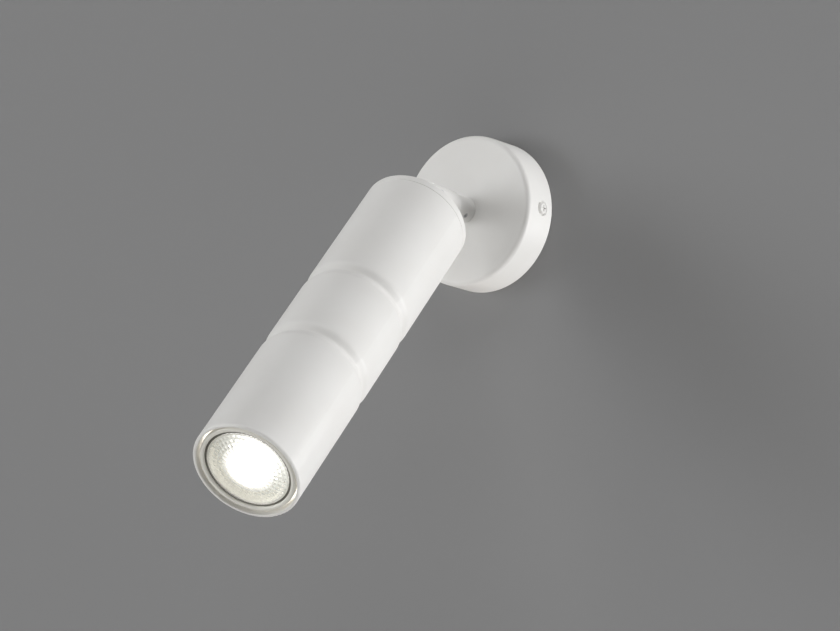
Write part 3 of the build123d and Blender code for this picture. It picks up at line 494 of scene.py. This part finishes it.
def join_rings(count, sides):
    """The faces between rings of points that follow each other."""
    faces = []
    for ring in range(count - 1):
        for side in range(sides):
            after = (side + 1) % sides
            faces.append((ring * sides + side, ring * sides + after,
                          (ring + 1) * sides + after, (ring + 1) * sides + side))
    return faces


# %% Lens
lens_low, lens_high, lens_radius = span("lamp_lens", head_frame)
PILLOW_RINGS = 8
PILLOW_HEIGHT = 0.36 * MM
LENS_DOME = 0.5 * MM
LENS_SIDES = 480
ROWS_PER_RING = 8
PLAIN_EDGE = 0.9    # rings' worth of lens outside the last ring's middle
HUB = 0.01          # the middle starts as a tiny ring, so that every face has four corners
ring_pitch = lens_radius / (PILLOW_RINGS + PLAIN_EDGE)


def valley(radius, angle):
    """How far the face lies below the pillows' tops at a point."""
    ring = min(round(radius / ring_pitch), PILLOW_RINGS)
    count = max(1, round(2 * pi * ring))
    along = (angle / (2 * pi) * count + 0.5 * (ring % 2) + 0.5) % 1 - 0.5
    across = min(abs(radius / ring_pitch - ring), 0.5)
    along = along if ring else 0.0
    return PILLOW_HEIGHT * min(1.0, (2 * across) ** 2 + (2 * along) ** 2)


def make_lens():
    """The lens: pillowed face from the middle to the edge, then the flat back to the middle."""
    rows = (PILLOW_RINGS + 1) * ROWS_PER_RING
    points = []
    for step in range(rows + 1):
        radius = lens_radius * max(step, HUB) / rows
        level = lens_high - LENS_DOME * (radius / lens_radius) ** 2
        for side in range(LENS_SIDES):
            angle = 2 * pi * side / LENS_SIDES
            points.append((radius * cos(angle), radius * sin(angle), level - valley(radius, angle)))
    for radius in (lens_radius, HUB * lens_radius):
        points += [(radius * cos(2 * pi * side / LENS_SIDES), radius * sin(2 * pi * side / LENS_SIDES),
                    lens_low) for side in range(LENS_SIDES)]
    faces = join_rings(rows + 3, LENS_SIDES)
    faces.append(tuple(reversed(range(LENS_SIDES))))
    faces.append(tuple(range((rows + 2) * LENS_SIDES, (rows + 3) * LENS_SIDES)))
    return points, [tuple(reversed(face)) for face in faces]


lens_points, lens_faces = make_lens()
front_lens = make_piece("front_lens", lens_points, lens_faces, head_frame, "head", "lens", lens_plastic)
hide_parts("lamp_lens")
print("lens:", len(lens_points), "points, rings of pillows", round(ring_pitch / MM, 2), "mm apart")

# %% [markdown]
# ## The lamp's shell
#
# The solid shell has a flat rim. The real one is pressed, with one round bead about the lens whose
# inner side is steep, so the lens sits in a dark ring. The shell is turned again from one closed
# outline: radii and levels in millimetres, with level 0 at the front of the rim.

# %% Shell
RIM_RADIUS, NECK_RADIUS, SHELL_WALL, SHELL_SIDES = 24.9, 12.2, 1.4, 240
FLANK_TOP, FLANK_FOOT, FLANK_BULGE, FLANK_STEPS = -3.2, -31.0, 2.2, 24
SHOULDER = 0.9          # the flank starts this far inside the rim's edge
UNLIT_FROM = 21         # step of the flank above which it doesn't glow
CUP_RADIUS, CUP_FLOOR, LEDGE_RADIUS = 20.4, -10.6, 19.3
BEAD_HEIGHT, BEAD_STEPS = 1.1, 20
# Where the dark ring of painted shade sits in the groove between the bead and the lens, with its lip.
SHADE_RING_RADIUS, SHADE_RING_LEVEL, SHADE_RING_FOOT = 22.5, -1.25, -2.1
SHADE_RING_CLEAR, LENS_CLEAR = 0.02, 0.03
SHADE_RING_LIP, SHADE_RING_DIP = 0.5, 0.15


def bead(outer, inner):
    """Half an ellipse that stands on two radii and reaches level 0, from outside to inside."""
    middle, half = (outer + inner) / 2, (outer - inner) / 2
    return [(middle + half * cos(pi * step / BEAD_STEPS),
             -BEAD_HEIGHT + BEAD_HEIGHT * sin(pi * step / BEAD_STEPS)) for step in range(BEAD_STEPS + 1)]


def flank(top_radius, foot_radius):
    """The shell's flank from the neck up: a cone that bulges square to its own slope."""
    slope = Vector((FLANK_TOP - FLANK_FOOT, foot_radius - top_radius)).normalized()
    points = []
    for step in range(FLANK_STEPS + 1):
        share = step / FLANK_STEPS
        bulge = FLANK_BULGE * 4 * share * (1 - share)
        points.append((foot_radius + (top_radius - foot_radius) * share + bulge * slope.x,
                       FLANK_FOOT + (FLANK_TOP - FLANK_FOOT) * share + bulge * slope.y))
    return points


def turned(outline, front, sides):
    """Points and faces of a closed outline in millimetres, turned round the Z axis."""
    points = [(radius * MM * cos(2 * pi * side / sides), radius * MM * sin(2 * pi * side / sides),
               front + level * MM) for radius, level in outline for side in range(sides)]
    faces = join_rings(len(outline), sides)
    last = (len(outline) - 1) * sides
    faces += [(last + side, last + (side + 1) % sides, (side + 1) % sides, side) for side in range(sides)]
    return points, faces


outside = flank(RIM_RADIUS - SHOULDER, NECK_RADIUS)
shell = outside[UNLIT_FROM:] + [(RIM_RADIUS, FLANK_TOP)] + bead(RIM_RADIUS, SHADE_RING_RADIUS)
shell += [(SHADE_RING_RADIUS, SHADE_RING_FOOT), (CUP_RADIUS, SHADE_RING_FOOT)]
shell += [(CUP_RADIUS, CUP_FLOOR), (LEDGE_RADIUS, CUP_FLOOR)]
inside = flank(RIM_RADIUS - SHOULDER - SHELL_WALL, NECK_RADIUS - SHELL_WALL)
shell += [point for point in reversed(inside) if point[0] < LEDGE_RADIUS and point[1] < CUP_FLOOR]
lit_from = len(shell) * SHELL_SIDES
shell += outside[:UNLIT_FROM]
rim_front = span("lamp_glass", head_frame)[1]
shell_points, shell_faces = turned(shell, rim_front, SHELL_SIDES)
beaded_shell = make_piece("beaded_shell", shell_points, shell_faces, head_frame, "head", "lamp_glass",
                          milky_glass, lit_glass, second_from=lit_from)
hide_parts("lamp_glass")

# A near-black ring in the groove inside the bead paints the shade that falls there.
shade_ring_outer, shade_ring_inner = SHADE_RING_RADIUS - SHADE_RING_CLEAR, lens_radius / MM + LENS_CLEAR
shade_ring_outline = [(shade_ring_outer, SHADE_RING_LEVEL), (SHADE_RING_RADIUS - SHADE_RING_LIP, SHADE_RING_LEVEL - SHADE_RING_DIP), (shade_ring_inner, SHADE_RING_LEVEL),
        (shade_ring_inner, SHADE_RING_FOOT + SHADE_RING_CLEAR), (shade_ring_outer, SHADE_RING_FOOT + SHADE_RING_CLEAR)]
shade_ring_points, shade_ring_faces = turned(shade_ring_outline, rim_front, SHELL_SIDES)
make_piece("painted_shade_ring", shade_ring_points, shade_ring_faces, head_frame, "head", "lamp_plastic", shade_ring_finish)
print("shell outline:", len(shell), "points, turned into", len(shell_faces), "faces")

# %% [markdown]
# ## The light chips
#
# Each chip is a package with a sloping edge and a phosphor dome on top. The seven chips are one
# piece with two finishes: the packages' faces come first, and the domes' faces after them.

# %% Chips
board_top = span("led_board", head_frame)[1]
CHIP_HALF, CHIP_EDGE, PACKAGE_HEIGHT, DOME_HEIGHT = 1.5 * MM, 0.2 * MM, 0.45 * MM, 0.25 * MM
DOME_RADIUS, CHIP_RING, CHIP_COUNT = 1.22 * MM, 11 * MM, 6
DOME_SIDES, DOME_RINGS = 32, 5
corners = ((-1, -1), (1, -1), (1, 1), (-1, 1))
chip_points, chip_faces, dome_points, dome_faces = [], [], [], []
for chip in range(CHIP_COUNT + 1):
    angle = 2 * pi * chip / CHIP_COUNT
    turn = Matrix.Rotation(angle, 3, "Z")
    middle = turn @ Vector((CHIP_RING if chip < CHIP_COUNT else 0.0, 0, board_top))
    start = len(chip_points)
    for half, level in ((CHIP_HALF, 0.0), (CHIP_HALF, PACKAGE_HEIGHT - CHIP_EDGE),
                        (CHIP_HALF - CHIP_EDGE, PACKAGE_HEIGHT)):
        chip_points += [middle + turn @ Vector((x * half, y * half, level)) for x, y in corners]
    chip_faces += [tuple(start + point for point in face) for face in join_rings(3, 4)]
    chip_faces += [(start + 3, start + 2, start + 1, start), (start + 8, start + 9, start + 10, start + 11)]
    start = len(dome_points)
    for ring in range(DOME_RINGS + 1):
        lean = pi / 2 * ring / (DOME_RINGS + 0.5)
        radius, level = DOME_RADIUS * cos(lean), PACKAGE_HEIGHT + DOME_HEIGHT * sin(lean)
        dome_points += [middle + Vector((radius * cos(2 * pi * side / DOME_SIDES),
                                         radius * sin(2 * pi * side / DOME_SIDES), level))
                        for side in range(DOME_SIDES)]
    dome_faces += [tuple(start + point for point in face) for face in join_rings(DOME_RINGS + 1, DOME_SIDES)]
    dome_faces.append(tuple(range(start + DOME_RINGS * DOME_SIDES, start + (DOME_RINGS + 1) * DOME_SIDES)))
dome_faces = [tuple(len(chip_points) + point for point in face) for face in dome_faces]
light_chips = make_piece("light_chips", chip_points + dome_points, chip_faces + dome_faces, head_frame,
                         "head", "chip", chip_plastic, phosphor, second_from=len(chip_faces))
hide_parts("led_chips")
print("chips:", CHIP_COUNT + 1, "faces:", len(chip_faces), "plain,", len(dome_faces), "glowing")

# %% [markdown]
# ## The neck's thread
#
# The neck's tail reaches through the canopy and takes a nut. The solid tail is plain, so a thread
# is wound round it behind the nut: one ridge along a helix, one millimetre further at each turn.

# %% Thread
THREAD_PITCH, THREAD_RADIUS, THREAD_STEPS = 1.0 * MM, 5.0 * MM, 48
RIDGE_HEIGHT, RIDGE_SINK = 0.13 * MM, 0.03 * MM
RIDGE_FLANK = 0.42      # half the ridge's width, as a share of the pitch
THREAD_END = 0.6 * MM   # plain metal left at both ends
tail_end, nut_back = span("neck", wall_frame)[0], span("neck_nut", wall_frame)[0]


def thread(low, high):
    """Points and faces of a raised helix round the Z axis."""
    section = ((-RIDGE_SINK, -RIDGE_FLANK * THREAD_PITCH), (RIDGE_HEIGHT, 0.0),
               (-RIDGE_SINK, RIDGE_FLANK * THREAD_PITCH))
    count = int((high - low) / THREAD_PITCH * THREAD_STEPS) + 1
    points = [((THREAD_RADIUS + out) * cos(2 * pi * step / THREAD_STEPS),
               (THREAD_RADIUS + out) * sin(2 * pi * step / THREAD_STEPS),
               low + THREAD_PITCH * step / THREAD_STEPS + along)
              for step in range(count) for out, along in section]
    last = 3 * (count - 1)
    faces = join_rings(count, 3) + [(2, 1, 0), (last, last + 1, last + 2)]
    return points, [tuple(reversed(face)) for face in faces]


thread_points, thread_faces = thread(tail_end + THREAD_END, nut_back - THREAD_END)
make_piece("neck_thread", thread_points, thread_faces, wall_frame, "canopy", "white_paint", powder_coat)
print("thread from", round(tail_end / MM, 2), "to", round(nut_back / MM, 2), "mm off the wall")
